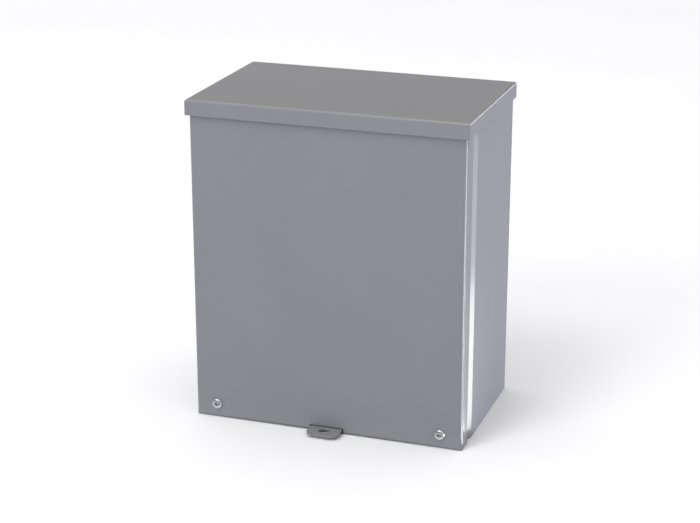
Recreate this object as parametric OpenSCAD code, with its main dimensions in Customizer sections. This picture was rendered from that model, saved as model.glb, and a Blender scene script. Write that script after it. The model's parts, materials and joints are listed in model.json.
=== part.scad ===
// Rainproof sheet-steel enclosure with a screw-on front cover, a drip shield and a padlock staple.
// The origin is the centre of the four wall holes, on the wall plane. +Z is up, +Y goes into the wall.

/* [Enclosure] */
// Outside width of the body and of the cover
box_w = 254; // [200:1:320]
// Height from the base to the top of the drip shield
box_h = 300; // [240:1:400]
// Depth from the cover's face to the outside of the back sheet
box_d = 154.5; // [110:0.5:220]
// Thickness of the body, cover and shield sheet
sheet_t = 1.5; // [1.2:0.1:2]
// Inside radius of the bends in the body and the cover
bend_r = 1.2; // [0.8:0.1:2]

/* [Drip shield] */
// Height of the shield's flange
shield_drop = 14.3; // [10:0.1:20]
// How far the shield stands out past the cover's face
shield_front = 3.5; // [3:0.1:8]
// How far the shield stands out past each side
shield_side = 2.5; // [2:0.1:6]
// Inside radius of the shield's bends
shield_bend_r = 0.8; // [0.5:0.1:2]

/* [Cover] */
// Depth of the cover's side and bottom flanges
cover_flange = 17.5; // [14:0.5:25]
// Depth of the cover's top flange
cover_top_flange = 6; // [4:0.5:7]
// Free height between the cover and the underside of the shield
cover_top_room = 5.5; // [4:0.5:8]
// Clearance between the cover's flanges and the front edges of the body
cover_gap = 1.4; // [0.4:0.1:2]
// Distance of each cover screw from the side of the cover
cover_screw_inset = 20.4; // [18:0.1:40]
// Height of the cover screws above the base
cover_screw_rise = 13.3; // [12:0.1:20]
// Radius of the screw holes in the cover
cover_hole_r = 2.9; // [2.7:0.1:3.5]

/* [Body] */
// Setback of the body's front lips behind the cover's face
lip_setback = 9; // [8.5:0.5:14]
// Width of the lips down the sides of the opening
lip_w = 12; // [8:0.5:14]
// Length of the sloped offset in each side sheet
side_ramp = 13.5; // [8:0.5:24]
// Height of the offset in the front of the bottom sheet
floor_step = 4.6; // [4:0.1:6]
// Length of the raised front of the bottom sheet, behind its lip
floor_shelf = 12; // [8:0.5:20]
// Length of the slope in the bottom sheet
floor_ramp = 9; // [7:0.5:14]
// Height of the bottom sheet's front lip
floor_lip = 19; // [18:0.5:30]
// Height of the bottom sheet's rear flange
floor_back = 12; // [8:0.5:20]
// Height of the rail over the opening
rail_h = 26; // [16:0.5:40]
// Depth of the rail's flanges
rail_flange = 10; // [6:0.5:16]

/* [Wall fixing] */
// Distance between the wall holes across the box
wall_hole_x = 215.9; // [150:0.1:290]
// Distance between the wall holes up the box
wall_hole_z = 266.7; // [190:0.1:370]
// Radius of the wall holes
wall_hole_r = 3.6; // [2.5:0.1:5]
// Radius of the raised pad around each wall hole
wall_pad_r = 11; // [8:0.5:14]
// Height of the raised pads
wall_pad_h = 1.5; // [1:0.1:1.5]

/* [Padlock staple] */
// Width of the staple
staple_w = 30; // [24:0.5:44]
// How far the staple stands out past the cover's face
staple_reach = 17; // [14:0.5:25]
// Thickness of the staple
staple_t = 1.9; // [1.5:0.1:2.5]
// Size of the cut corners of the staple
staple_corner = 6; // [2:0.5:9]
// Radius of the padlock hole
padlock_hole_r = 4.75; // [3:0.05:6]
// Distance from the cover's face to the centre of the padlock hole
padlock_hole_reach = 7; // [6:0.1:12]
// Clearance of the cover's slot around the staple
slot_gap = 0.9; // [0.8:0.1:1.5]

/* [Cover screws] */
// Radius of the screw's thread
screw_r = 2.4; // [1.8:0.05:3]
// Radius of the screw's head
screw_head_r = 4.9; // [4:0.05:7]
// Height of the screw's head
screw_head_h = 3.1; // [2:0.1:4]
// Width of the slots of the cross recess
recess_w = 1; // [0.6:0.1:1.5]
// Length of the slots of the cross recess
recess_l = 5; // [3:0.1:6]
// Depth of the cross recess
recess_deep = 1.7; // [1:0.1:2]
// Length of the screw that stands out past its nut
screw_tip = 1.5; // [0.5:0.1:2]
// Thickness of the cover nut
cover_nut_t = 3.5; // [3:0.1:5]
// Width of the cover nut across its flats
cover_nut_af = 9.5; // [8:0.1:12]
// Clearance that lets the straight screw leave its nut as the cover tilts
tilt_gap = 0.4; // [0.35:0.05:0.6]
// Radius of the retaining washer
retainer_r = 5; // [4:0.1:7]
// Thickness of the retaining washer
retainer_t = 0.8; // [0.5:0.1:1.5]
// Clearance of pieces that turn or slide in each other
running_gap = 0.05; // [0.02:0.01:0.1]
// Clearance at the ends of a travel
end_gap = 0.3; // [0.2:0.1:0.6]

/* [Inner panel] */
// Width of the panel
panel_w = 203.2; // [140:0.1:270]
// Height of the panel
panel_h = 254; // [180:0.1:350]
// Thickness of the panel
panel_t = 1.9; // [1.5:0.1:3]
// Size of the cut corners of the panel
panel_corner = 14; // [6:0.5:20]
// Distance between the studs across the box
stud_x = 171.4; // [110:0.1:240]
// Distance between the studs up the box
stud_z = 222.2; // [150:0.1:320]
// Radius of the studs' thread
stud_r = 3.15; // [2.4:0.05:4]
// Radius of the collar that spaces the panel off the back
collar_r = 5.5; // [4.5:0.1:8]
// Length of the collar
collar_l = 12; // [8:0.5:20]
// Clearance of the panel's holes around the studs
stud_hole_gap = 0.35; // [0.2:0.05:1]
// Thickness of the lock washers
washer_t = 1.6; // [1:0.1:2.5]
// Outside radius of the lock washers
washer_r = 6; // [5:0.1:8]
// Width of the slit in each lock washer
washer_slit = 0.8; // [0.5:0.1:1.5]
// Thickness of the panel nuts
nut_t = 5.6; // [4:0.1:8]
// Width of the panel nuts across their flats
nut_af = 11.1; // [9:0.1:14]
// Length of each stud that stands out past its nut
stud_tip = 3; // [1:0.5:6]

/* [Ground lug] */
// Distance of the lug to the left of the panel's centre
lug_left = 62; // [30:1:80]
// Height of the lug's fixing screw above the panel's lower edge
lug_rise = 38; // [30:1:60]
// Width of the lug
lug_w = 11; // [9:0.5:16]
// Thickness of the lug's tongue
lug_tongue_t = 2.4; // [1.5:0.1:4]
// Distance from the fixing screw to the block
lug_reach = 8; // [7:0.5:12]
// Length of the block along the wire
lug_block_l = 13; // [10:0.5:20]
// Depth of the block from the panel to its front
lug_block_d = 14; // [12:0.5:20]
// Radius of the wire hole
wire_r = 3.6; // [3.3:0.05:4.5]
// Distance from the panel to the centre of the wire hole
wire_rise = 5.4; // [5:0.1:8]
// Radius of the clamping screw
clamp_r = 2.4; // [2:0.05:3]
// How far the clamping screw stands out of the block when the wire hole is free
clamp_out = 4; // [1:0.1:6]
// Radius of the fixing screw's thread
fixing_r = 2.4; // [2:0.05:3]
// Radius of the fixing screw's head
fixing_head_r = 4.5; // [4:0.1:6]
// Height of the fixing screw's head
fixing_head_h = 3; // [2:0.1:4]
// Length of the fixing screw behind the panel
fixing_tip = 5; // [2:0.5:7]
// Thickness of the toothed washer under the fixing screw's head
tooth_washer_t = 0.8; // [0.5:0.1:1.2]
// Outside radius of the toothed washer
tooth_washer_r = 4.4; // [4:0.1:6]

/* [Hidden] */

$fn = 48;
// Margin by which a cut runs past the faces it opens
cut = 1;
// Largest angle that one facet of a bend spans
bend_step = 12;

// Sides -1 and 1 name the left and the right, and the bottom and the top
LEFT = -1;
RIGHT = 1;
BOTTOM = -1;
TOP = 1;

paint = [0.56, 0.57, 0.59];
zinc = [0.78, 0.79, 0.8];
white_paint = [0.93, 0.93, 0.91];
nylon = [0.9, 0.88, 0.82];
tin = [0.72, 0.72, 0.7];

// The front edges of the body fit inside the cover's flanges
tongue_in = sheet_t + cover_gap;
tongue_half = box_w / 2 - tongue_in;
// Underside of the shield's top sheet
shield_under = box_h - sheet_t;
cover_top = shield_under - cover_top_room;
// The side sheets slope out behind the cover's flanges
ramp_front = cover_flange + cover_gap;
ramp_back = ramp_front + side_ramp;
back_inside = box_d - sheet_t;
wall_plane = box_d + wall_pad_h;
wall_centre = box_h / 2;

// The bottom sheet's lip and the rail stand right behind the side lips
frame_front = lip_setback + sheet_t;
frame_back = frame_front + sheet_t;
shelf_back = frame_back + floor_shelf;
floor_front = shelf_back + floor_ramp;

staple_top = floor_step;
staple_bottom = staple_top - staple_t;
staple_half = staple_w / 2;

// Along the cover screws, front to back
nut_back = frame_back + cover_nut_t;
screw_end = nut_back + screw_tip;
retainer_front = frame_front - end_gap - retainer_t;
head_seat = -running_gap;
nut_bore_r = screw_r + tilt_gap;

// Along the panel studs, back to front
panel_back = back_inside - collar_l;
panel_front = panel_back - panel_t;
washer_front = panel_front - washer_t;
nut_front = washer_front - nut_t;
stud_end = nut_front - stud_tip;

// The ground lug, in the panel's plane
lug_x = -lug_left;
lug_screw_z = wall_centre - panel_h / 2 + lug_rise;
lug_block_top = lug_screw_z - lug_reach;
lug_block_bottom = lug_block_top - lug_block_l;
lug_front = panel_front - lug_block_d;
wire_y = panel_front - wire_rise;
clamp_z = (lug_block_top + lug_block_bottom) / 2;
clamp_tip = wire_y - wire_r - end_gap;
tongue_front = panel_front - lug_tongue_t;

function unit(v) = v / norm(v);
function left_of(u) = [-u.y, u.x];
function reversed(list) = [for (i = [len(list) - 1:-1:0]) list[i]];

// Points that round the corner b of the path a, b, c with radius r, on a line d to the left of the path
function bend(a, b, c, r, d = 0) =
    let (
        u = unit(b - a),
        sweep = acos(u * unit(c - b)),
        turn = sign(cross(u, c - b)),
        centre = b - r * tan(sweep / 2) * u + turn * r * left_of(u),
        start = atan2(-turn * left_of(u).y, -turn * left_of(u).x),
        steps = ceil(sweep / bend_step)
    )
    [for (i = [0:steps]) let (angle = start + turn * sweep * i / steps)
        centre + (r - turn * d) * [cos(angle), sin(angle)]];

// One side of a bent strip, d to the left of its centre line
function strip_side(path, r, d) =
    let (last = len(path) - 1)
    [
        path[0] + d * left_of(unit(path[1] - path[0])),
        for (i = [1:last - 1]) each bend(path[i - 1], path[i], path[i + 1], r, d),
        path[last] + d * left_of(unit(path[last] - path[last - 1]))
    ];

// Outline of a sheet that is bent along the corners of its centre line
module bent_sheet(path, r = bend_r) {
    centre_r = r + sheet_t / 2;
    polygon(concat(
        strip_side(path, centre_r, sheet_t / 2),
        reversed(strip_side(path, centre_r, -sheet_t / 2))
    ));
}

// Channel outline: open where its first and last points are, with its two middle corners rounded
module channel_outline(p, r) {
    polygon(concat([p[0]], bend(p[0], p[1], p[2], r), bend(p[1], p[2], p[3], r), [p[3]]));
}

// Moves a piece from the cover's face and the base to the frame's origin
module in_frame() {
    translate([0, -wall_plane, -wall_centre]) children();
}

// Extrudes an outline in the Y-Z plane across the box
module along_x(width) {
    rotate([90, 0, 90]) linear_extrude(width, center = true) children();
}

// Extrudes an outline in the X-Z plane from y0 to y1
module along_y(y0, y1) {
    translate([0, y1, 0]) rotate([90, 0, 0]) linear_extrude(y1 - y0) children();
}

// Extrudes an outline in the X-Y plane from z0 to z1
module along_z(z0, z1) {
    translate([0, 0, z0]) linear_extrude(z1 - z0) children();
}

// A round bar from y0 to y1
module bar_y(r, y0, y1, sides = $fn) {
    translate([0, y0, 0]) rotate([-90, 0, 0]) cylinder(r = r, h = y1 - y0, $fn = sides);
}

module block(x0, x1, y0, y1, z0, z1) {
    translate([x0, y0, z0]) cube([x1 - x0, y1 - y0, z1 - z0]);
}

// The four corners of a rectangle that is centred on the back
module at_corners(x, z) {
    for (i = [LEFT, RIGHT], j = [BOTTOM, TOP]) translate([i * x / 2, 0, wall_centre + j * z / 2]) children();
}

module at_cover_screw(side) {
    translate([side * (box_w / 2 - cover_screw_inset), 0, cover_screw_rise]) children();
}

module at_stud(i, j) {
    translate([i * stud_x / 2, 0, wall_centre + j * stud_z / 2]) children();
}

// A hexagon bar from y0 to y1 with a bore through it
module hex_nut(af, bore_r, y0, y1) {
    difference() {
        bar_y(af / 2 / cos(30), y0, y1, 6);
        bar_y(bore_r, y0 - cut, y1 + cut);
    }
}

module ring(r, bore_r, y0, y1) {
    difference() {
        bar_y(r, y0, y1);
        bar_y(bore_r, y0 - cut, y1 + cut);
    }
}

// A domed head that stands on the plane y = seat and points to the front
module pan_head(r, h, seat) {
    edge = h / 2;
    translate([0, seat, 0]) rotate([90, 0, 0]) rotate_extrude() {
        polygon(concat(
            [[0, 0], [r, 0], [r, h - edge]],
            [for (a = [15:15:90]) [r - edge + edge * cos(a), h - edge + edge * sin(a)]],
            [[0, h]]
        ));
    }
}

module cross_recess(width, length, y0, y1) {
    block(-width / 2, width / 2, y0, y1, -length / 2, length / 2);
    block(-length / 2, length / 2, y0, y1, -width / 2, width / 2);
}

// Back and both sides, bent from one sheet, with an offset and a lip along each front edge
module body_wrap() {
    side = box_w / 2 - sheet_t / 2;
    tongue = tongue_half - sheet_t / 2;
    lip_y = lip_setback + sheet_t / 2;
    back_y = box_d - sheet_t / 2;
    right_half = [
        [tongue_half - lip_w, lip_y], [tongue, lip_y], [tongue, ramp_front],
        [side, ramp_back], [side, back_y]
    ];
    left_half = [for (p = reversed(right_half)) [-p.x, p.y]];
    color(paint) in_frame() difference() {
        union() {
            along_z(0, shield_under) bent_sheet(concat(right_half, left_half));
            at_corners(wall_hole_x, wall_hole_z) bar_y(wall_pad_r, box_d - sheet_t / 2, wall_plane);
        }
        // The front edges clear the cover's bottom flange
        along_x(box_w + cut) polygon([
            [0, -cut], [ramp_back, -cut], [ramp_back, 0], [ramp_front, tongue_in], [0, tongue_in]
        ]);
        at_corners(wall_hole_x, wall_hole_z) {
            bar_y(wall_pad_r - sheet_t, back_inside - cut, wall_plane - sheet_t);
            bar_y(wall_hole_r, back_inside - cut, wall_plane + cut);
        }
    }
}

// Inside of the body in plan, up to the inner faces of its sheet and clear of its bends
module body_inside() {
    side = box_w / 2 - sheet_t;
    tongue = tongue_half - sheet_t;
    right_half = [
        [tongue - bend_r, 0], [tongue - bend_r, frame_front], [tongue, frame_front + bend_r],
        [tongue, ramp_front], [side, ramp_back], [side, back_inside - bend_r],
        [side - bend_r, back_inside]
    ];
    polygon(concat(right_half, [for (p = reversed(right_half)) [-p.x, p.y]]));
}

// Floor with a rear flange, a raised front for the staple and a lip for the cover screws
module bottom_panel() {
    floor_z = sheet_t / 2;
    shelf_z = floor_step + sheet_t / 2;
    lip_y = frame_front + sheet_t / 2;
    color(paint) in_frame() difference() {
        intersection() {
            along_x(box_w) bent_sheet([
                [lip_y, floor_step + floor_lip], [lip_y, shelf_z], [shelf_back, shelf_z],
                [floor_front, floor_z], [back_inside - sheet_t / 2, floor_z],
                [back_inside - sheet_t / 2, floor_back]
            ]);
            along_z(-cut, box_h) body_inside();
        }
        for (side = [LEFT, RIGHT])
            at_cover_screw(side) bar_y(nut_bore_r, frame_front - cut, frame_back + cut);
    }
}

// Solid under the shield's skin, inset from its outside
module shield_block(inset, back) {
    half = box_w / 2 + shield_side - inset;
    front = -shield_front + inset;
    top = box_h - inset;
    bottom = box_h - shield_drop - (inset > 0 ? cut : 0);
    r = shield_bend_r + sheet_t - inset;
    intersection() {
        along_x(2 * half)
            polygon(concat(
                [[back, bottom], [front, bottom]],
                bend([front, bottom], [front, top], [back, top], r),
                [[back, top]]
            ));
        along_y(front - cut, back + cut)
            channel_outline([[-half, bottom], [-half, top], [half, top], [half, bottom]], r);
    }
}

// Roof with a flange down its front and both sides
module drip_shield() {
    color(paint) in_frame() difference() {
        shield_block(0, box_d);
        shield_block(sheet_t, box_d + cut);
    }
}

// Channel under the front of the roof that closes the top of the opening
module top_rail() {
    web_y = frame_front + sheet_t / 2;
    upper_z = shield_under - sheet_t / 2;
    lower_z = shield_under - rail_h + sheet_t / 2;
    color(paint) in_frame() intersection() {
        along_x(box_w) bent_sheet([
            [frame_front + rail_flange, upper_z], [web_y, upper_z],
            [web_y, lower_z], [frame_front + rail_flange, lower_z]
        ]);
        along_z(0, box_h) body_inside();
    }
}

// Flat plate under the raised front of the floor, with a hole for a padlock
module padlock_staple() {
    front = -staple_reach;
    inner = staple_half - staple_corner;
    plate_l = shelf_back - bend_r + staple_reach;
    color(paint) in_frame() difference() {
        along_z(staple_bottom, staple_top) difference() {
            union() {
                translate([-staple_half, front + staple_corner])
                    square([staple_w, plate_l - staple_corner]);
                translate([-inner, front]) square([2 * inner, staple_corner + cut]);
                for (side = [LEFT, RIGHT])
                    translate([side * inner, front + staple_corner]) circle(staple_corner);
            }
            translate([0, -padlock_hole_reach]) circle(padlock_hole_r);
        }
    }
}

// Solid inside the cover's skin, inset from its outside
module cover_block(inset, back) {
    half = box_w / 2 - inset;
    top = cover_top - inset;
    r = bend_r + sheet_t - inset;
    intersection() {
        along_z(inset, top) channel_outline([[half, back], [half, inset], [-half, inset], [-half, back]], r);
        along_x(2 * half) channel_outline([[back, inset], [inset, inset], [inset, top], [back, top]], r);
    }
}

// Pan with a flange on all four edges, two screw holes and a slot for the staple
module front_cover() {
    slot_half = staple_half + slot_gap;
    color(paint) in_frame() difference() {
        cover_block(0, cover_flange);
        cover_block(sheet_t, cover_flange + cut);
        block(-box_w / 2 + sheet_t, box_w / 2 - sheet_t, cover_top_flange, cover_flange + cut,
            cover_top - sheet_t - cut, cover_top + cut);
        for (side = [LEFT, RIGHT]) at_cover_screw(side) bar_y(cover_hole_r, -cut, sheet_t + cut);
        block(-slot_half, slot_half, -cut, sheet_t + bend_r, staple_bottom - slot_gap, staple_top + slot_gap);
    }
}

// Pan-head screw with a cross recess
module cover_screw(side) {
    color(zinc) in_frame() at_cover_screw(side) difference() {
        union() {
            pan_head(screw_head_r, screw_head_h, head_seat);
            bar_y(screw_r, head_seat - cut, screw_end);
        }
        cross_recess(recess_w, recess_l, head_seat - screw_head_h - cut,
            head_seat - screw_head_h + recess_deep);
    }
}

// Washer that keeps the screw in the cover when it is drawn out
module screw_retainer(side) {
    color(nylon) in_frame() at_cover_screw(side)
        ring(retainer_r, screw_r + running_gap, retainer_front, retainer_front + retainer_t);
}

// Nut behind the floor's lip
module cover_nut(side) {
    color(zinc) in_frame() at_cover_screw(side) hex_nut(cover_nut_af, nut_bore_r, frame_back, nut_back);
}

// Flat mounting plate with cut corners
module inner_panel() {
    x = panel_w / 2;
    z = panel_h / 2;
    c = panel_corner;
    color(white_paint) in_frame() difference() {
        along_y(panel_front, panel_back) translate([0, wall_centre]) polygon([
            [x - c, -z], [x, -z + c], [x, z - c], [x - c, z],
            [-x + c, z], [-x, z - c], [-x, -z + c], [-x + c, -z]
        ]);
        at_corners(stud_x, stud_z) bar_y(stud_r + stud_hole_gap, panel_front - cut, panel_back + cut);
        translate([lug_x, 0, lug_screw_z]) bar_y(fixing_r, panel_front - cut, panel_back + cut);
    }
}

// Threaded stud with the collar that carries the panel
module panel_stud(i, j) {
    color(zinc) in_frame() at_stud(i, j) {
        bar_y(collar_r, panel_back, back_inside);
        bar_y(stud_r, stud_end, panel_back + cut);
    }
}

module lock_washer(i, j) {
    color(zinc) in_frame() at_stud(i, j) difference() {
        ring(washer_r, stud_r + running_gap, washer_front, panel_front);
        rotate([0, 20, 0]) block(-washer_slit / 2, washer_slit / 2, washer_front - cut, panel_front + cut,
            0, washer_r + cut);
    }
}

module panel_nut(i, j) {
    color(zinc) in_frame() at_stud(i, j) hex_nut(nut_af, stud_r + running_gap, nut_front, washer_front);
}

// Lug with a tongue for its fixing screw and a block for the wire
module ground_lug() {
    half = lug_w / 2;
    color(tin) in_frame() translate([lug_x, 0, 0]) difference() {
        union() {
            block(-half, half, tongue_front, panel_front, lug_block_bottom, lug_screw_z);
            translate([0, 0, lug_screw_z]) bar_y(half, tongue_front, panel_front);
            block(-half, half, lug_front, panel_front, lug_block_bottom, lug_block_top);
        }
        translate([0, 0, lug_screw_z]) bar_y(fixing_r + running_gap, tongue_front - cut, panel_front + cut);
        translate([0, wire_y, lug_block_bottom - cut]) cylinder(r = wire_r, h = lug_block_l + 2 * cut);
        translate([0, 0, clamp_z]) bar_y(clamp_r + running_gap, lug_front - cut, wire_y);
    }
}

// Slotted screw that presses the wire against the lug
module lug_clamp_screw() {
    head = lug_front - clamp_out;
    color(zinc) in_frame() translate([lug_x, 0, clamp_z]) difference() {
        bar_y(clamp_r, head, clamp_tip);
        block(-clamp_r - cut, clamp_r + cut, head - cut, head + recess_deep, -recess_w / 2, recess_w / 2);
    }
}

// Screw that holds the lug to the panel
module lug_fixing_screw() {
    seat = tongue_front - tooth_washer_t;
    color(zinc) in_frame() translate([lug_x, 0, lug_screw_z]) difference() {
        union() {
            pan_head(fixing_head_r, fixing_head_h, seat);
            bar_y(fixing_r, seat - cut, panel_back + fixing_tip);
        }
        cross_recess(recess_w, recess_l, seat - fixing_head_h - cut, seat - fixing_head_h + recess_deep);
    }
}

module lug_tooth_washer() {
    color(zinc) in_frame() translate([lug_x, 0, lug_screw_z])
        ring(tooth_washer_r, fixing_r + running_gap, tongue_front - tooth_washer_t, tongue_front);
}

body_wrap();
bottom_panel();
drip_shield();
top_rail();
padlock_staple();
front_cover();
cover_screw(LEFT);  // cover_screw_left
cover_screw(RIGHT);  // cover_screw_right
screw_retainer(LEFT);  // screw_retainer_left
screw_retainer(RIGHT);  // screw_retainer_right
cover_nut(LEFT);  // cover_nut_left
cover_nut(RIGHT);  // cover_nut_right
inner_panel();
panel_stud(LEFT, TOP);  // panel_stud_top_left
panel_stud(RIGHT, TOP);  // panel_stud_top_right
panel_stud(LEFT, BOTTOM);  // panel_stud_bottom_left
panel_stud(RIGHT, BOTTOM);  // panel_stud_bottom_right
lock_washer(LEFT, TOP);  // lock_washer_top_left
lock_washer(RIGHT, TOP);  // lock_washer_top_right
lock_washer(LEFT, BOTTOM);  // lock_washer_bottom_left
lock_washer(RIGHT, BOTTOM);  // lock_washer_bottom_right
panel_nut(LEFT, TOP);  // panel_nut_top_left
panel_nut(RIGHT, TOP);  // panel_nut_top_right
panel_nut(LEFT, BOTTOM);  // panel_nut_bottom_left
panel_nut(RIGHT, BOTTOM);  // panel_nut_bottom_right
ground_lug();
lug_clamp_screw();
lug_fixing_screw();
lug_tooth_washer();
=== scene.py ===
"""Looks of the rainproof screw-cover enclosure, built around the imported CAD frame."""

import json
import math

import bmesh
import bpy
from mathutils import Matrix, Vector


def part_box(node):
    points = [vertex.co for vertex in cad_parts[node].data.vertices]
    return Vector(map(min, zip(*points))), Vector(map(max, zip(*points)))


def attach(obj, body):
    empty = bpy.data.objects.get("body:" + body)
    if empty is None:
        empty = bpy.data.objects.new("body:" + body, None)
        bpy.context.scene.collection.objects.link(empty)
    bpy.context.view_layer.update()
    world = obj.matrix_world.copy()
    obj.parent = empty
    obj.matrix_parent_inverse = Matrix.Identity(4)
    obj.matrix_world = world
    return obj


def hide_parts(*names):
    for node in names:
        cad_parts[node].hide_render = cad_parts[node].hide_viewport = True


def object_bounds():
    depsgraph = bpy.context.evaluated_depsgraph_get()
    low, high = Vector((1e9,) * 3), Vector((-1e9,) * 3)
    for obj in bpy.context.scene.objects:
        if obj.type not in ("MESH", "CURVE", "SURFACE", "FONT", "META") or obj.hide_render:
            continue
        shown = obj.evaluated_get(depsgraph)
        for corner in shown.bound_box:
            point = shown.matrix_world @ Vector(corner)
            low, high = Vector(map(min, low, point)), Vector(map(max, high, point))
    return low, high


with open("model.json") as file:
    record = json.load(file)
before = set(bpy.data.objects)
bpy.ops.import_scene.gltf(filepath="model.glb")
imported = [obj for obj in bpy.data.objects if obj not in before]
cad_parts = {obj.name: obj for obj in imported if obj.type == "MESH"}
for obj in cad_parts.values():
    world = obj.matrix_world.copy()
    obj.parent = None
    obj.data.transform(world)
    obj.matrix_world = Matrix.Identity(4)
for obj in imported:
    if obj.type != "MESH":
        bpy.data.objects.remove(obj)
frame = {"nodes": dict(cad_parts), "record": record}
cad_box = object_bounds()
nodes = frame["nodes"]

MM = 0.001
CORNERS = ["top_left", "top_right", "bottom_left", "bottom_right"]
SHEETS = [
    "body_wrap", "bottom_panel", "drip_shield", "top_rail", "padlock_staple", "front_cover", "inner_panel",
]


# ---------------------------------------------------------------- materials


# A Mix node has several sockets of each name, so its colour sockets go by number
MIX_A, MIX_B, MIX_RESULT = 6, 7, 2
# The noise values between which a ramp goes from dark to light
DARK_AT, LIGHT_AT = 0.3, 0.7
# How upright a surface's normal is where the painted warm top light starts, and the share of that painted light where
# the surface is level
PAINTED_TOP_LIGHT_FROM, PAINTED_TOP_LIGHT_SHARE = 0.75, 0.5


def fill_ramp(node, stops):
    """Gives a colour ramp node its (position, colour) stops."""
    elements = node.color_ramp.elements
    while len(elements) < len(stops):
        elements.new(0.5)
    for element, (position, colour) in zip(elements, stops):
        element.position = position
        element.color = (*colour, 1)


class Shader:
    """A material's node tree, with short ways to add and join nodes."""

    def __init__(self, name):
        self.material = bpy.data.materials.new(name)
        self.material.use_nodes = True
        self.tree = self.material.node_tree
        self.surface = self.tree.nodes["Principled BSDF"]

    def add(self, kind, **values):
        node = self.tree.nodes.new(kind)
        for key, value in values.items():
            if key in node.inputs:
                node.inputs[key].default_value = value
            else:
                setattr(node, key, value)
        return node

    def join(self, a, b):
        self.tree.links.new(a, b)

    def set(self, **values):
        for key, value in values.items():
            self.surface.inputs[key.replace("_", " ")].default_value = value

    def place(self, stretch=(1, 1, 1)):
        """Where a point is in the piece's own frame, in metres, so that detail keeps its real scale."""
        mapping = self.add("ShaderNodeMapping")
        mapping.inputs["Scale"].default_value = stretch
        self.join(self.add("ShaderNodeTexCoord").outputs["Object"], mapping.inputs["Vector"])
        return mapping.outputs["Vector"]

    def noise(self, place, per_metre, detail=2.0, rough=0.5):
        node = self.add("ShaderNodeTexNoise", Scale=per_metre, Detail=detail, Roughness=rough)
        self.join(place, node.inputs["Vector"])
        return node.outputs["Fac"]

    def ramp(self, value, dark, light, socket):
        """Sends value through a ramp from a dark colour to a light one into a socket."""
        node = self.add("ShaderNodeValToRGB")
        self.join(value, node.inputs["Fac"])
        fill_ramp(node, [(DARK_AT, dark), (LIGHT_AT, light)])
        self.join(node.outputs["Color"], socket)

    def roughness(self, value, middle, spread):
        """Varies the roughness by spread to each side of its middle."""
        low, high = middle - spread, middle + spread
        self.ramp(value, (low, low, low), (high, high, high), self.surface.inputs["Roughness"])

    def bump(self, *layers):
        """Stacks (height, strength, distance in metres) layers under the surface's normal."""
        below = None
        for height, strength, distance in layers:
            node = self.add("ShaderNodeBump", Strength=strength, Distance=distance)
            self.join(height, node.inputs["Height"])
            if below:
                self.join(below, node.inputs["Normal"])
            below = node.outputs["Normal"]
        self.join(below, self.surface.inputs["Normal"])


def powder_coat(name, dark, light, painted_top_light, rough, peel):
    """Baked powder coat: an even colour with faint clouds and orange peel, and a painted warm top light where it
    faces up.
    """
    s = Shader(name)
    place = s.place()
    paint = s.add("ShaderNodeMix", data_type="RGBA")
    s.ramp(s.noise(place, 14, 3), dark, light, paint.inputs[MIX_A])
    # The second colour is painted warm light from above, mixed into the paint on faces that look up
    paint.inputs[MIX_B].default_value = (*painted_top_light, 1)
    normal = s.add("ShaderNodeSeparateXYZ")
    s.join(s.add("ShaderNodeTexCoord").outputs["Normal"], normal.inputs["Vector"])
    upward = s.add("ShaderNodeMapRange")
    for socket, value in (("From Min", PAINTED_TOP_LIGHT_FROM), ("From Max", 1.0), ("To Min", 0.0), ("To Max", PAINTED_TOP_LIGHT_SHARE)):
        upward.inputs[socket].default_value = value
    s.join(normal.outputs["Z"], upward.inputs["Value"])
    s.join(upward.outputs["Result"], paint.inputs["Factor"])
    s.join(paint.outputs[MIX_RESULT], s.surface.inputs["Base Color"])
    s.roughness(s.noise(place, 300, 3), rough, 0.012)
    s.bump((s.noise(place, 420, 1.5), peel, 0.00004), (s.noise(place, 2200, 2), peel, 0.000004))
    s.set(Specular_IOR_Level=0.5, IOR=1.45)
    return s.material


def plated(name, dark, light, rough, stretch=(1, 1, 1), grain=0.25):
    """Bright plating on metal, with faint cloudy tarnish and fine grain."""
    s = Shader(name)
    place = s.place(stretch)
    s.ramp(s.noise(place, 160, 4, 0.6), dark, light, s.surface.inputs["Base Color"])
    s.roughness(s.noise(place, 900, 3), rough, 0.03)
    s.bump((s.noise(place, 1900, 3), grain, 0.00002))
    s.set(Metallic=1.0)
    return s.material


def moulded(name, dark, light, rough):
    """Natural nylon: slightly translucent, with a satin moulded skin."""
    s = Shader(name)
    place = s.place()
    s.ramp(s.noise(place, 300, 3), dark, light, s.surface.inputs["Base Color"])
    s.roughness(s.noise(place, 1500, 2), rough, 0.04)
    s.bump((s.noise(place, 2400, 2), 0.2, 0.00001))
    s.set(Subsurface_Weight=0.15, Subsurface_Scale=0.001)
    return s.material


# Each coat's third colour is a painted warm top light, mixed in on faces that look up
MATERIALS = {
    "grey_paint": powder_coat(
        "grey_paint", dark=(0.218, 0.221, 0.241), light=(0.228, 0.231, 0.251), painted_top_light=(0.24, 0.232, 0.212),
        rough=0.254, peel=0.05,
    ),
    "white_paint": powder_coat(
        "white_paint", dark=(0.78, 0.78, 0.75), light=(0.83, 0.83, 0.8), painted_top_light=(0.76, 0.75, 0.7),
        rough=0.42, peel=0.1,
    ),
    "zinc_plate": plated("zinc_plate", dark=(0.6, 0.61, 0.62), light=(0.68, 0.69, 0.7), rough=0.23),
    "tinned_aluminium": plated(
        "tinned_aluminium", dark=(0.62, 0.62, 0.61), light=(0.7, 0.7, 0.69), rough=0.4,
        stretch=(1, 1, 0.08), grain=0.5,
    ),
    "nylon": moulded("nylon", dark=(0.76, 0.73, 0.64), light=(0.82, 0.79, 0.71), rough=0.42),
}
SLOTS = {p["node"]: p["material_slot"] for p in frame["record"]["subparts"]}
BODIES = {n: body for body, members in frame["record"]["behaviour"]["bodies"].items() for n in members}


# ------------------------------------------------------------------- meshes


# Corners that round to the same place at this many steps per metre are one vertex
WELD_STEPS = 1e7
RECTANGLE = ((-1, -1), (1, -1), (1, 1), (-1, 1))


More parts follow.
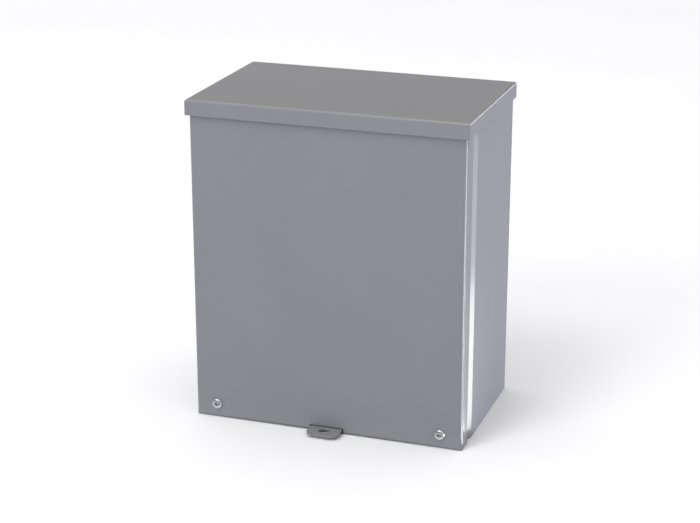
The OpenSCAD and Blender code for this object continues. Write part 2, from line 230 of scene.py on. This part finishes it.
class Mesh:
    """Faces by their corners' places. Corners at one place are one vertex."""

    def __init__(self):
        self.bm = bmesh.new()
        self.at = {}

    def vert(self, co):
        key = tuple(round(c * WELD_STEPS) for c in co)
        if key not in self.at:
            self.at[key] = self.bm.verts.new(co)
        return self.at[key]

    def face(self, corners):
        verts = []
        for co in corners:
            v = self.vert(co)
            if v not in verts:
                verts.append(v)
        if len(verts) > 2 and self.bm.faces.get(verts) is None:
            self.bm.faces.new(verts)

    def grid(self, rows, closed=True):
        """Faces between each row of points and the next. A closed row joins its last point to its first."""
        for a, b in zip(rows, rows[1:]):
            last = len(a) if closed else len(a) - 1
            for i in range(last):
                j = (i + 1) % len(a)
                self.face([a[i], a[j], b[j], b[i]])


def round_point(centre, radius, angle, along):
    """A point of a piece that turns about the Y axis through centre."""
    return (centre.x + radius * math.cos(angle), along, centre.z + radius * math.sin(angle))


def lathe(mesh, centre, profile, sides):
    """Turns (radius, y) points about the Y axis through centre. A radius of 0 closes the end."""
    rows = []
    for radius, along in profile:
        rows.append([round_point(centre, radius, 2 * math.pi * i / sides, along) for i in range(sides)])
    mesh.grid(rows)


# A turn of thread, as shares of the pitch and of the thread's depth
THREAD_STEPS = [(0.0, 0.0), (0.14, 0.0), (0.46, 1.0), (0.66, 1.0)]
# Shares of the pitch
THREAD_DEPTH, THREAD_FADE = 0.6, 0.6


def thread(mesh, centre, start, end, major, pitch, sides):
    """A threaded bar from y = start to y = end. The thread fades out at each end. Returns its root radius."""
    minor = major - THREAD_DEPTH * pitch
    sign = 1 if end > start else -1
    length = abs(end - start)
    turns = math.ceil(length / pitch) + 1
    rows = []
    for turn in range(-1, turns):
        for share, depth in THREAD_STEPS:
            row = []
            for i in range(sides + 1):
                s = (turn + share + i / sides) * pitch
                s = min(max(s, 0), length)
                fade = max(0, min(1, s / (THREAD_FADE * pitch), (length - s) / (THREAD_FADE * pitch)))
                radius = minor + (major - minor) * depth * fade
                row.append(round_point(centre, radius, -sign * 2 * math.pi * i / sides, start + sign * s))
            rows.append(row)
    mesh.grid(rows, closed=False)
    return minor


def new_object(name, bm):
    """An object with bm as its mesh. This uses bm up."""
    mesh = bpy.data.meshes.new(name)
    bm.to_mesh(mesh)
    bm.free()
    obj = bpy.data.objects.new(name, mesh)
    bpy.context.scene.collection.objects.link(obj)
    return obj


def finish_piece(node, bm, sharp=40):
    """Makes bm the piece that stands for a CAD node. Edges that turn by more than sharp degrees stay sharp."""
    bmesh.ops.recalc_face_normals(bm, faces=bm.faces)
    piece = new_object("fine_" + node, bm)
    mesh = piece.data
    for attribute in [a for a in mesh.attributes if a.name in ("custom_normal", "sharp_face", "sharp_edge")]:
        mesh.attributes.remove(attribute)
    mesh.shade_smooth()
    mesh.set_sharp_from_angle(angle=math.radians(sharp))
    mesh.materials.clear()
    mesh.materials.append(MATERIALS[SLOTS[node]])
    weights = piece.modifiers.new("flat_faces_stay_flat", "WEIGHTED_NORMAL")
    weights.keep_sharp = True
    weights.weight = 100
    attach(piece, BODIES[node])
    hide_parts(node)


# ------------------------------------------------------------------- sheets


# Vertices this close are welded, in metres, and faces that turn by less than this are one flat, in degrees
CAD_WELD, CAD_FLAT = 2e-6, 0.6
BEVEL_SEGMENTS = 2
# An edge is rounded if it turns by more than SHARP_TURN degrees, or by more than SLIGHT_TURN between two
# faces of at least WIDE_FACE square metres
SHARP_TURN, SLIGHT_TURN, WIDE_FACE = 32, 5, 0.0005


def softened(node, width):
    """The CAD node's own shape, with its edges rounded over a width."""
    bm = bmesh.new()
    bm.from_mesh(nodes[node].data)
    bmesh.ops.remove_doubles(bm, verts=bm.verts, dist=CAD_WELD)
    bmesh.ops.dissolve_limit(
        bm, angle_limit=math.radians(CAD_FLAT), use_dissolve_boundaries=False, verts=bm.verts, edges=bm.edges,
    )
    edges = []
    for edge in bm.edges:
        if len(edge.link_faces) != 2:
            continue
        turn = math.degrees(edge.calc_face_angle(0))
        between_wide = min(f.calc_area() for f in edge.link_faces) > WIDE_FACE
        if turn > SHARP_TURN or (turn > SLIGHT_TURN and between_wide):
            edges.append(edge)
    bmesh.ops.bevel(
        bm, geom=edges, offset=width, offset_type="OFFSET", segments=BEVEL_SEGMENTS, profile=0.5,
        affect="EDGES", clamp_overlap=False, miter_outer="SHARP",
    )
    finish_piece(node, bm)


# ---------------------------------------------------------------- fasteners


SCREW_SIDES, STUD_SIDES, WASHER_SIDES, SPLIT_SIDES, NUT_SIDES = 48, 28, 56, 60, 72
# Threads of 32 and 20 to the inch
FINE_PITCH, COARSE_PITCH = 0.79375 * MM, 1.27 * MM


def domed_head(mesh, centre, seat, front, radius):
    """A head with a short rim and a domed crown, open at the seat. Returns the first point of its profile."""
    steps = 12
    height = seat - front
    rim = 0.22 * height
    profile = [(radius - 0.25 * MM, seat), (radius, seat - 0.2 * MM), (radius, seat - rim)]
    for i in range(1, steps + 1):
        t = math.pi / 2 * i / steps
        crown = radius * math.cos(t) if i < steps else 0
        profile.append((crown, seat - (rim + (height - rim) * math.sin(t))))
    lathe(mesh, centre, profile, SCREW_SIDES)
    return profile[0]


def prism(ends):
    """A closed solid between two rings of points."""
    mesh = Mesh()
    mesh.grid(ends)
    mesh.face(ends[0])
    mesh.face(ends[1])
    return mesh.bm


def cross_cutters(centre, front, depth, length, width):
    """Two slots that cross and taper, as closed solids that reach from ahead of a head into it."""
    ahead, scale_ahead, scale_inside = 0.5 * MM, 1.12, 0.42
    cutters = []
    for turn in (0, math.pi / 2):
        ends = []
        for along, scale in ((front - ahead, scale_ahead), (front + depth, scale_inside)):
            # The width tapers a quarter as much as the length
            half_l, half_w = length / 2 * scale, width / 2 * (0.75 + 0.25 * scale)
            ring = []
            for u, v in RECTANGLE:
                x, z = u * half_l, v * half_w
                ring.append((
                    centre.x + x * math.cos(turn) - z * math.sin(turn), along,
                    centre.z + x * math.sin(turn) + z * math.cos(turn),
                ))
            ends.append(ring)
        cutters.append(prism(ends))
    return cutters


def carve(bm, cutters):
    """bm less each of the closed cutters."""
    bmesh.ops.recalc_face_normals(bm, faces=bm.faces)
    piece = new_object("carved", bm)
    tools = []
    for cutter in cutters:
        bmesh.ops.recalc_face_normals(cutter, faces=cutter.faces)
        tool = new_object("cutter", cutter)
        modifier = piece.modifiers.new("cut", "BOOLEAN")
        modifier.object = tool
        modifier.operation = "DIFFERENCE"
        modifier.solver = "EXACT"
        tools.append(tool)
    bpy.context.view_layer.update()
    done = bpy.data.meshes.new_from_object(piece.evaluated_get(bpy.context.evaluated_depsgraph_get()))
    out = bmesh.new()
    out.from_mesh(done)
    for obj in [piece, *tools]:
        data = obj.data
        bpy.data.objects.remove(obj)
        bpy.data.meshes.remove(data)
    bpy.data.meshes.remove(done)
    # The boolean leaves corners a hair apart, and slivers of no area between them
    hair = 0.004 * MM
    bmesh.ops.remove_doubles(out, verts=out.verts, dist=hair)
    bmesh.ops.dissolve_degenerate(out, edges=out.edges, dist=hair)
    return out


def recessed_screw(node, head_radius, head_height, thread_major, pitch, plain):
    """Domed head with a cross recess at the front, a plain neck, and a thread that ends in a chamfer."""
    low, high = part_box(node)
    centre = (low + high) / 2
    front, end = low.y, high.y
    seat = front + head_height
    mesh = Mesh()
    rim = domed_head(mesh, centre, seat, front, head_radius)
    neck_end = seat + plain
    tip = end - 0.8 * MM
    neck = thread_major - 0.1 * MM
    fillet = 0.5 * MM
    minor = thread(mesh, centre, neck_end, tip, thread_major, pitch, SCREW_SIDES)
    shank = [rim, (neck + fillet, seat), (neck, seat + fillet), (neck, neck_end - 0.3 * MM), (minor, neck_end)]
    lathe(mesh, centre, shank, SCREW_SIDES)
    lathe(mesh, centre, [(minor, tip), (minor - 0.5 * MM, end), (0, end)], SCREW_SIDES)
    recess = cross_cutters(centre, front, depth=2.2 * MM, length=3.5 * MM, width=1.6 * MM)
    finish_piece(node, carve(mesh.bm, recess), sharp=45)


def hex_nut(node, bore):
    """A hexagon nut with its corners chamfered at both ends and its bore countersunk."""
    low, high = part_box(node)
    centre = (low + high) / 2
    wide, tall = high.x - low.x, high.z - low.z
    half_flats = min(wide, tall) / 2
    # The angle of a corner: a nut that is wider than tall has one at the side
    lies = 0 if wide > tall else math.pi / 6
    front, back = low.y, high.y
    middle = (front + back) / 2
    sink = 0.45 * MM
    shoulder = half_flats * 0.96
    slope = math.tan(math.radians(30))
    rows = []

    def ring(radius_of, along_of):
        """Adds a row, with each point's radius and y worked out from the hexagon's edge at its angle."""
        row = []
        for i in range(NUT_SIDES):
            angle = 2 * math.pi * i / NUT_SIDES
            past_corner = (angle - lies) % (math.pi / 3)
            edge = half_flats / math.cos(past_corner - math.pi / 6)
            row.append(round_point(centre, radius_of(edge), angle, along_of(edge)))
        rows.append(row)

    def drop(edge):
        return max(0, edge - shoulder) * slope

    ring(lambda e: bore, lambda e: middle)
    ring(lambda e: bore, lambda e: front + sink)
    ring(lambda e: bore + sink, lambda e: front)
    ring(lambda e: shoulder, lambda e: front)
    ring(lambda e: e, lambda e: front + drop(e))
    ring(lambda e: e, lambda e: back - drop(e))
    ring(lambda e: shoulder, lambda e: back)
    ring(lambda e: bore + sink, lambda e: back)
    ring(lambda e: bore, lambda e: back - sink)
    ring(lambda e: bore, lambda e: middle)
    mesh = Mesh()
    mesh.grid(rows)
    finish_piece(node, mesh.bm, sharp=28)


def washer(node, bore, edge):
    """A flat washer with rounded edges."""
    low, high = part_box(node)
    centre = (low + high) / 2
    outer = (high.x - low.x) / 2
    mesh = Mesh()
    profile = [
        (bore, low.y + edge), (bore + edge, low.y), (outer - edge, low.y), (outer - 0.3 * edge, low.y + 0.3 * edge),
        (outer, low.y + edge), (outer, high.y - edge), (outer - 0.3 * edge, high.y - 0.3 * edge),
        (outer - edge, high.y), (bore + edge, high.y), (bore, high.y - edge), (bore, low.y + edge),
    ]
    lathe(mesh, centre, profile, WASHER_SIDES)
    finish_piece(node, mesh.bm, sharp=50)


def split_washer(node, bore):
    """A spring washer with a slanted slit and rounded edges."""
    low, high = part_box(node)
    centre = (low + high) / 2
    outer = (high.x - low.x) / 2
    round_r = 0.3 * MM
    arc_steps = 3
    section = []
    corners = [(bore, low.y, 1, 1), (outer, low.y, -1, 1), (outer, high.y, -1, -1), (bore, high.y, 1, -1)]
    for k, (r, y, inward, up) in enumerate(corners):
        turn = math.pi + k * math.pi / 2
        for i in range(arc_steps + 1):
            a = turn + math.pi / 2 * i / arc_steps
            section.append((r + inward * round_r + round_r * math.cos(a), y + up * round_r + round_r * math.sin(a)))
    slit = math.radians(70)
    gap = 0.8 * MM / outer
    slant = 0.5 * MM
    thick = high.y - low.y
    rows = []
    for i in range(SPLIT_SIDES + 1):
        row = []
        for radius, along in section:
            lean = slant * ((along - low.y) / thick - 0.5) / outer
            angle = slit + gap / 2 + lean + (2 * math.pi - gap) * i / SPLIT_SIDES
            row.append(round_point(centre, radius, angle, along))
        rows.append(row)
    mesh = Mesh()
    mesh.grid(rows)
    mesh.face(rows[0])
    mesh.face(rows[-1])
    finish_piece(node, mesh.bm, sharp=50)


def collar_stud(node, thread_r, pitch, collar_end):
    """A threaded stud on a chamfered collar."""
    low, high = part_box(node)
    centre = (low + high) / 2
    collar = (high.x - low.x) / 2
    edge = 0.5 * MM
    tip = low.y + 0.9 * MM
    root = collar_end - 0.4 * MM
    mesh = Mesh()
    minor = thread(mesh, centre, root, tip, thread_r, pitch, STUD_SIDES)
    lathe(mesh, centre, [(0, low.y), (minor - 0.6 * MM, low.y), (minor, tip)], STUD_SIDES)
    lathe(mesh, centre, [(minor, root), (minor, collar_end)], STUD_SIDES)
    profile = [
        (minor, collar_end), (collar - edge, collar_end), (collar, collar_end + edge), (collar, high.y), (0, high.y),
    ]
    lathe(mesh, centre, profile, STUD_SIDES)
    finish_piece(node, mesh.bm, sharp=45)


def tooth_washer(node, bore):
    """An external-tooth washer with twisted teeth."""
    low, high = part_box(node)
    centre = (low + high) / 2
    outer = (high.x - low.x) / 2
    root = bore + 0.45 * (outer - bore)
    middle = (low.y + high.y) / 2
    half = 0.2 * MM
    under, over = middle - half, middle + half
    twist = (high.y - low.y) / 2 - half
    teeth = 12
    width = 2 * math.pi / teeth * 0.62
    mesh = Mesh()

    def face(*corners):
        mesh.face([round_point(centre, radius, angle, y) for radius, angle, y in corners])

    def ring_part(a, b):
        """The ring inside the teeth, from one angle to another, without its outer face."""
        for y in (under, over):
            face((bore, a, y), (bore, b, y), (root, b, y), (root, a, y))
        face((bore, a, under), (bore, b, under), (bore, b, over), (bore, a, over))

    for i in range(teeth):
        a = 2 * math.pi * i / teeth
        b = a + width
        ring_part(a, b)
        for y in (under, over):
            face((root, a, y), (root, b, y), (outer, b, y + twist), (outer, a, y - twist))
        face((outer, a, under - twist), (outer, b, under + twist), (outer, b, over + twist), (outer, a, over - twist))
        for angle, lift in ((a, -twist), (b, twist)):
            face((root, angle, under), (outer, angle, under + lift), (outer, angle, over + lift), (root, angle, over))
        # The plain part up to the next tooth
        a, b = b, 2 * math.pi * (i + 1) / teeth
        ring_part(a, b)
        face((root, a, under), (root, b, under), (root, b, over), (root, a, over))
    finish_piece(node, mesh.bm, sharp=20)


def slotted_screw(node, pitch):
    """A headless screw with a slot at the front and a cup point."""
    low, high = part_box(node)
    centre = (low + high) / 2
    major = (high.x - low.x) / 2
    front, tip = low.y + 0.5 * MM, high.y - 0.7 * MM
    mesh = Mesh()
    minor = thread(mesh, centre, front, tip, major, pitch, STUD_SIDES)
    lathe(mesh, centre, [(0, low.y), (minor - 0.2 * MM, low.y), (minor, front)], STUD_SIDES)
    cup = [(minor, tip), (minor - 0.6 * MM, high.y), (minor - 0.9 * MM, high.y), (0, high.y - 0.4 * MM)]
    lathe(mesh, centre, cup, STUD_SIDES)
    half, deep, wide = 0.48 * MM, 1.65 * MM, major + MM
    ends = []
    for y in (low.y - MM, low.y + deep):
        ends.append([(centre.x + u * wide, y, centre.z + v * half) for u, v in RECTANGLE])
    finish_piece(node, carve(mesh.bm, [prism(ends)]), sharp=45)


def pieces():
    """The fine piece for each CAD node."""
    for node in SHEETS:
        softened(node, 0.3 * MM)
    for side in ("left", "right"):
        recessed_screw(
            "cover_screw_" + side, head_radius=4.9 * MM, head_height=3.1 * MM, thread_major=2.4 * MM,
            pitch=FINE_PITCH, plain=2.5 * MM,
        )
        hex_nut("cover_nut_" + side, bore=2.8 * MM)
        washer("screw_retainer_" + side, bore=2.45 * MM, edge=0.2 * MM)
    panel_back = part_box("inner_panel")[1].y
    for corner in CORNERS:
        collar_stud("panel_stud_" + corner, thread_r=3.15 * MM, pitch=COARSE_PITCH, collar_end=panel_back)
        split_washer("lock_washer_" + corner, bore=3.2 * MM)
        hex_nut("panel_nut_" + corner, bore=3.2 * MM)
    recessed_screw(
        "lug_fixing_screw", head_radius=4.5 * MM, head_height=3.0 * MM, thread_major=2.4 * MM,
        pitch=FINE_PITCH, plain=1.2 * MM,
    )
    tooth_washer("lug_tooth_washer", bore=2.45 * MM)
    slotted_screw("lug_clamp_screw", FINE_PITCH)
    softened("ground_lug", 0.35 * MM)


pieces()


# ------------------------------------------------------------ studio, camera


# Greys of the sky's bands, watts of the two area lights, and strengths of the cards
LIGHTS = {
    "horizon": 1.0, "low_sky": 0.087, "high_sky": 1.21,
    "top_front": 30, "key": 42,
    "near_card": 9, "far_card": 3.5, "wide_card": 14, "side_card": 0.83, "front_card": 0.4, "ridge_card": 5,
}
SKY_TINT = (1.0, 0.995, 1.02)
PLAIN, BLUISH = (1, 1, 1), (0.95, 0.95, 1.1)
# Position on the sky's ramp, from the horizon to straight up, and the band there
SKY = [
    (0.0, "horizon"), (0.13, "horizon"), (0.2, "low_sky"), (0.45, "low_sky"), (0.6, "high_sky"), (1.0, "high_sky"),
]
# The floor is just under the object, and the cards on it just above the floor
FLOOR_DROP, CARD_LIFT = 0.0002, 0.0004


def area_light(name, place, aim, size, shows_in_gloss=True):
    """A square light at place that shines at aim."""
    data = bpy.data.lights.new(name, "AREA")
    data.shape = "RECTANGLE"
    data.size, data.size_y = size, size
    data.energy = LIGHTS[name]
    light = bpy.data.objects.new(name, data)
    light.location = place
    light.rotation_mode = "QUATERNION"
    light.rotation_quaternion = (Vector(aim) - Vector(place)).to_track_quat("-Z", "Y")
    light.visible_camera = False
    light.visible_glossy = shows_in_gloss
    bpy.context.scene.collection.objects.link(light)


def glow_card(name, corners, tint=PLAIN):
    """A flat card that shines, which only gloss sees. It stands for a soft box or a reflector."""
    bm = bmesh.new()
    bm.faces.new([bm.verts.new(co) for co in corners])
    card = new_object(name, bm)
    material = bpy.data.materials.new(name)
    material.use_nodes = True
    tree = material.node_tree
    glow = tree.nodes.new("ShaderNodeEmission")
    glow.inputs["Color"].default_value = (*tint, 1)
    glow.inputs["Strength"].default_value = LIGHTS[name]
    tree.links.new(glow.outputs["Emission"], tree.nodes["Material Output"].inputs["Surface"])
    card.data.materials.append(material)
    card.visible_camera = card.visible_diffuse = card.visible_shadow = card.visible_transmission = False


def floor_card(name, centre, inner, outer, first, last, tint=PLAIN):
    """A glow card on the floor, between two radii about centre and two azimuths in degrees."""
    corners = []
    for radius, angle in ((inner, first), (outer, first), (outer, last), (inner, last)):
        angle = math.radians(angle)
        corners.append((centre.x + radius * math.sin(angle), centre.y - radius * math.cos(angle), centre.z))
    glow_card(name, corners, tint)


def studio():
    """A pale floor under a soft sky, two lights, and the cards that show in the gloss."""
    low, high = cad_box
    ground = low.z
    bm = bmesh.new()
    bmesh.ops.create_grid(bm, x_segments=8, y_segments=8, size=9)
    floor = new_object("floor", bm)
    floor.location = (0, 0, ground - FLOOR_DROP)
    s = Shader("pale_floor")
    s.ramp(s.noise(s.place(), 3, 2), (0.92, 0.92, 0.92), (0.93, 0.93, 0.93), s.surface.inputs["Base Color"])
    s.set(Roughness=0.9, Specular_IOR_Level=0.0)
    floor.data.materials.append(s.material)

    world = bpy.data.worlds.new("studio")
    world.use_nodes = True
    tree = world.node_tree
    background = tree.nodes["Background"]
    place = tree.nodes.new("ShaderNodeTexCoord")
    split = tree.nodes.new("ShaderNodeSeparateXYZ")
    ramp = tree.nodes.new("ShaderNodeValToRGB")
    tree.links.new(place.outputs["Generated"], split.inputs["Vector"])
    tree.links.new(split.outputs["Z"], ramp.inputs["Fac"])
    tree.links.new(ramp.outputs["Color"], background.inputs["Color"])
    fill_ramp(ramp, [(position, [LIGHTS[band] * tint for tint in SKY_TINT]) for position, band in SKY])
    background.inputs["Strength"].default_value = 1.0
    bpy.context.scene.world = world
    bpy.context.scene.view_settings.view_transform = "Standard"

    area_light("top_front", (-0.7, -2.1, 3.8), (0, -0.1, 0.05), 1.2)
    area_light("key", (-1.5, -3.2, 2.0), (0, -0.08, 0), 1.6, shows_in_gloss=False)
    # These show in the bends at the right of the object, where the sheet turns from the camera
    level = ground + CARD_LIFT
    corner = Vector((high.x - 0.003, low.y + 0.04, level))
    floor_card("near_card", corner, inner=0.0235, outer=0.42, first=128, last=149)
    floor_card("far_card", corner, inner=0.42, outer=1.2, first=128, last=149)
    floor_card("wide_card", corner, inner=0.012, outer=1.2, first=42, last=90)
    floor_card("side_card", corner, inner=0.0235, outer=2.4, first=149, last=182, tint=BLUISH)
    # This shows in the screw heads
    near, far, left, right = low.y - 0.004, -2.4, -2.4, 0.3
    glow_card("front_card", [(left, far, level), (right, far, level), (right, near, level), (left, near, level)])
    # This shows in the right ridge of the roof
    start, end, bottom, top = (0.65, 1.9), (1.25, 1.7), 0.2, 0.75
    glow_card("ridge_card", [(*start, bottom), (*end, bottom), (*end, top), (*start, top)])


def camera():
    """Stands where a fit to the photograph's perspective puts it."""
    azimuth, elevation, distance = math.radians(18.997), math.radians(19.07), 1.5856
    aim = Vector((0.0226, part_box("front_cover")[0].y, 0.0162))
    back = Vector((
        math.sin(azimuth) * math.cos(elevation), -math.cos(azimuth) * math.cos(elevation), math.sin(elevation),
    ))
    data = bpy.data.cameras.new("camera")
    # Both in millimetres
    data.lens, data.sensor_width = 93.43, 36
    data.clip_start, data.clip_end = 0.05, 60
    view = bpy.data.objects.new("camera", data)
    view.location = aim + back * distance
    view.rotation_mode = "QUATERNION"
    view.rotation_quaternion = (-back).to_track_quat("-Z", "Y")
    bpy.context.scene.collection.objects.link(view)
    bpy.context.scene.camera = view


studio()
camera()
